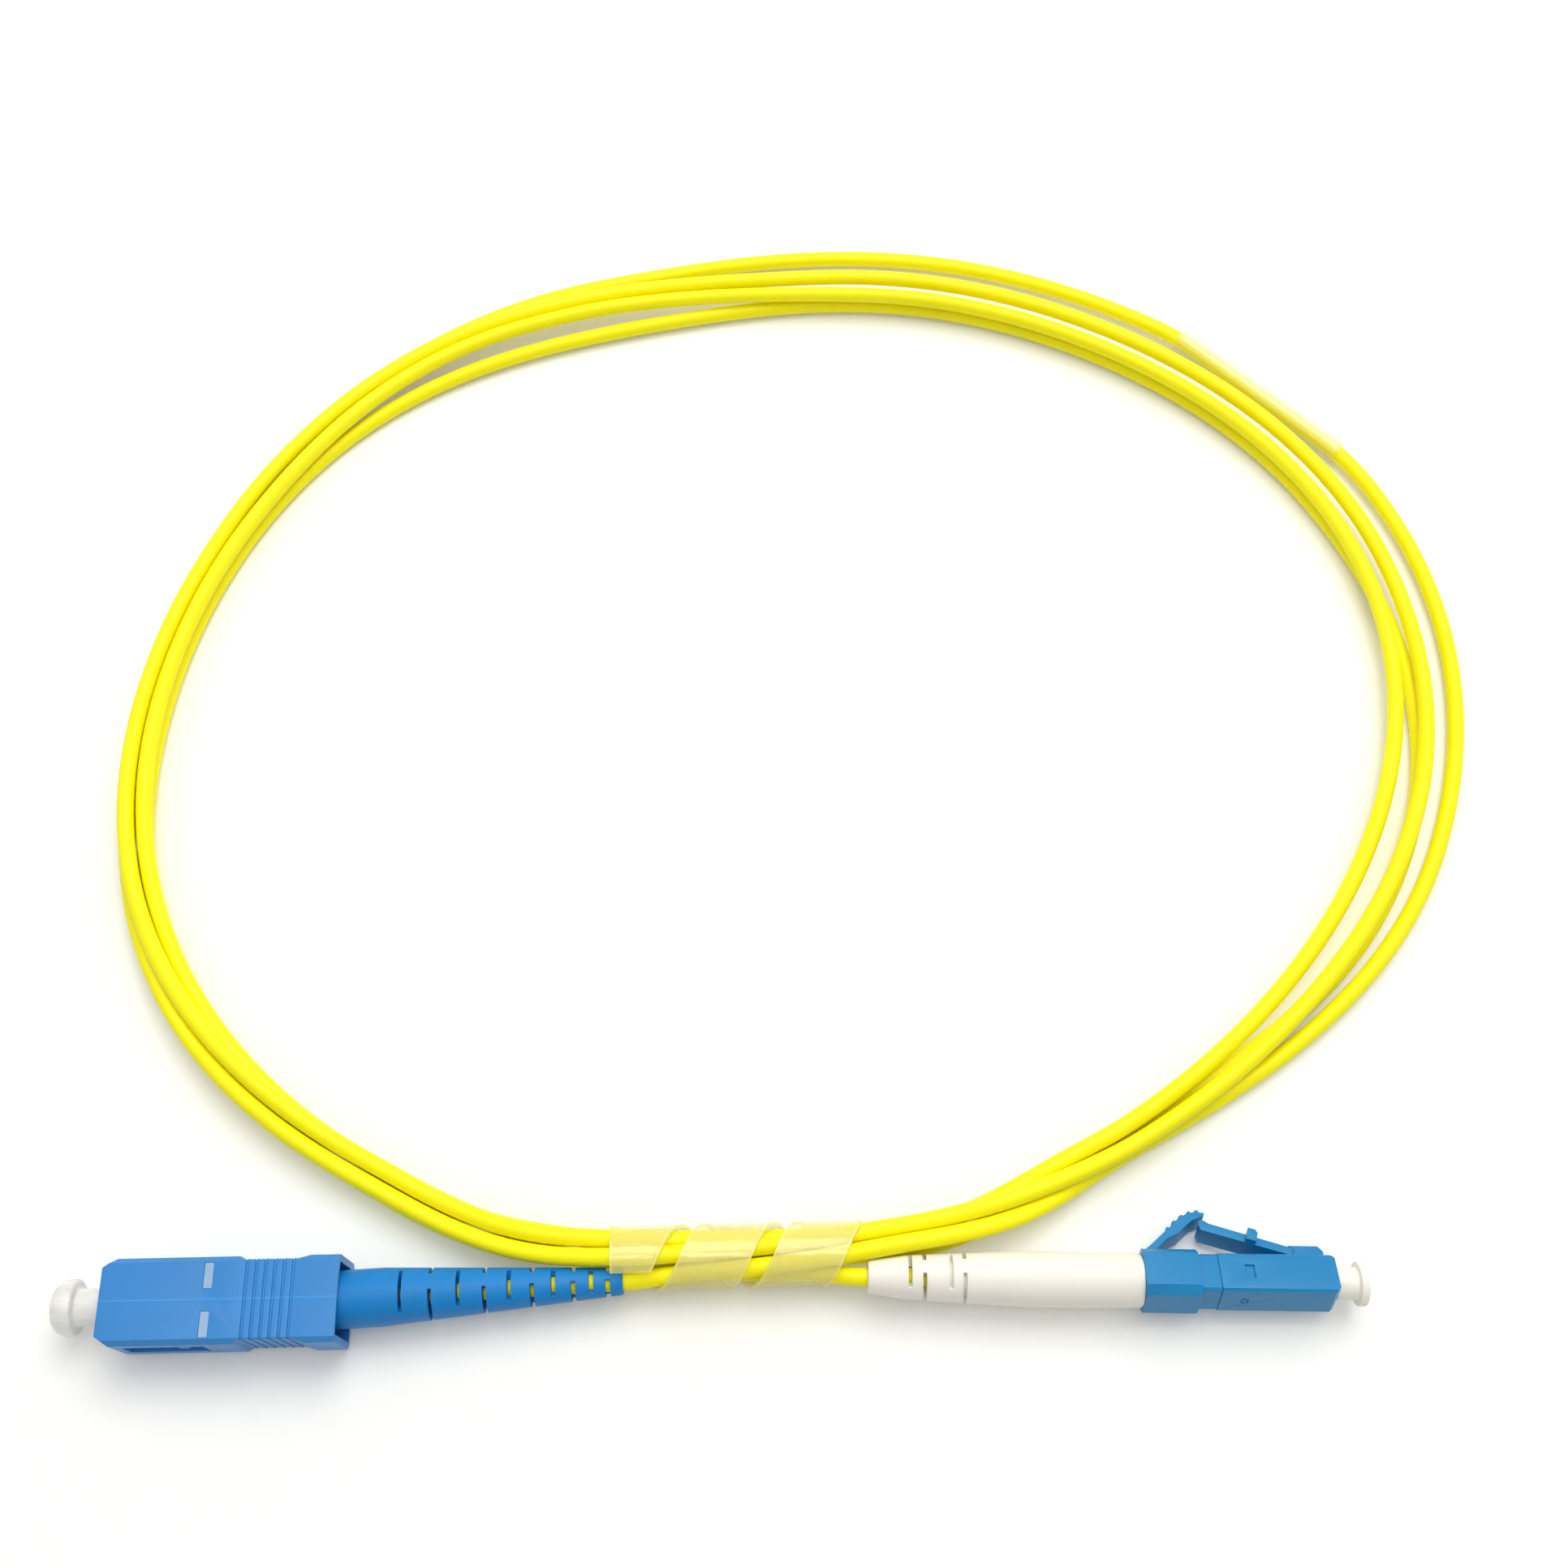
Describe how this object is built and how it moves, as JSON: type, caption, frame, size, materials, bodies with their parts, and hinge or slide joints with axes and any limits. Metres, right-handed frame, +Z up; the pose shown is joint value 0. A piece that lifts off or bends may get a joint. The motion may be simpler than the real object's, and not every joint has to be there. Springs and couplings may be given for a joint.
{
  "type": "fiber optic patch cord",
  "caption": "Coiled simplex fiber optic patch cord with a square push-pull plug and a small latched plug, both capped, tied by a spiral wrap.",
  "frame": {"origin": "on the table, midway along and across the two plugs, which lie in line with the coil behind them", "axes": "+X from the square plug to the small latched plug, +Y from the plugs across the coil, +Z up from the table"},
  "size_m": [0.1666, 0.1495, 0.0083],
  "materials": {
    "sc_blue": "moulded, semi-gloss",
    "frame_white": "moulded, gloss",
    "ceramic": "polished ceramic",
    "plated_metal": "plated, turned",
    "spring_steel": "drawn wire",
    "crimp_metal": "pressed, satin",
    "strength_yarn": "matt yarn",
    "buffer_white": "extruded",
    "jacket_yellow": "extruded, satin",
    "sc_boot_blue": "moulded, satin",
    "lc_boot_white": "moulded, satin",
    "cap_translucent": "translucent, satin",
    "cap_white": "moulded, satin",
    "lc_blue": "moulded, semi-gloss",
    "clear_sleeve": "clear, gloss",
    "clear_wrap": "clear, satin"
  },
  "bodies": {
    "cord_and_plugs": {"sc_plug_frame": "frame_white", "sc_spring": "spring_steel", "sc_stop_body": "plated_metal", "sc_crimp_sleeve": "crimp_metal", "sc_aramid_yarn": "strength_yarn", "sc_cord_lead": "jacket_yellow", "sc_boot": "sc_boot_blue", "cord_coil": "jacket_yellow", "label_sleeve": "clear_sleeve", "spiral_wrap": "clear_wrap", "lc_boot": "lc_boot_white", "lc_cord_lead": "jacket_yellow", "lc_aramid_yarn": "strength_yarn", "lc_crimp_sleeve": "crimp_metal", "lc_stop_body": "lc_blue", "lc_spring": "spring_steel", "lc_rear_clip": "lc_blue", "lc_front_housing": "lc_blue"},
    "sc_grip": {"sc_grip_housing": "sc_blue"},
    "sc_floating_ferrule": {"sc_ferrule": "ceramic", "sc_ferrule_flange": "plated_metal", "sc_buffered_fibre": "buffer_white"},
    "sc_cap": {"sc_dust_cap": "cap_translucent"},
    "lc_latch_beam": {"lc_latch": "lc_blue"},
    "lc_trigger_lever": {"lc_trigger": "lc_blue"},
    "lc_floating_ferrule": {"lc_ferrule": "ceramic", "lc_ferrule_flange": "plated_metal", "lc_buffered_fibre": "buffer_white"},
    "lc_cap": {"lc_dust_cap": "cap_white"}
  },
  "joints": [
    {"name": "sc_grip_slide", "type": "slide", "parent": "cord_and_plugs", "child": "sc_grip", "axis": [0.9998, 0.0209, 0], "range_m": [0, 0.0018]},
    {"name": "sc_ferrule_float", "type": "slide", "parent": "cord_and_plugs", "child": "sc_floating_ferrule", "axis": [0.9998, 0.0209, 0], "range_m": [0, 0.001], "stiffness_N_per_m": 1200, "deforming": ["sc_spring"]},
    {"name": "sc_cap_pull", "type": "slide", "parent": "cord_and_plugs", "child": "sc_cap", "axis": [-0.9998, -0.0209, 0], "range_m": [0, 0.012]},
    {"name": "lc_ferrule_float", "type": "slide", "parent": "cord_and_plugs", "child": "lc_floating_ferrule", "axis": [-0.9999, 0.014, 0], "range_m": [0, 0.0009], "stiffness_N_per_m": 900, "deforming": ["lc_spring"]},
    {"name": "lc_trigger_press", "type": "hinge", "parent": "cord_and_plugs", "child": "lc_trigger_lever", "pos_m": [0.04734, 0.00258, 0.00331], "axis": [-0.005, -0.3583, -0.9336], "range_deg": [0, 10], "stiffness_Nm_per_rad": 0.0005},
    {"name": "lc_latch_flex", "type": "hinge", "parent": "cord_and_plugs", "child": "lc_latch_beam", "pos_m": [0.06229, 0.00256, 0.00324], "axis": [0.005, 0.3583, 0.9336], "range_deg": [0, 8]},
    {"name": "lc_cap_pull", "type": "slide", "parent": "cord_and_plugs", "child": "lc_cap", "axis": [0.9999, -0.014, 0], "range_m": [0, 0.012]}
  ],
  "couplings": [
    {"joint": "lc_latch_flex", "follows": "lc_trigger_press", "ratio": 0.8}
  ]
}
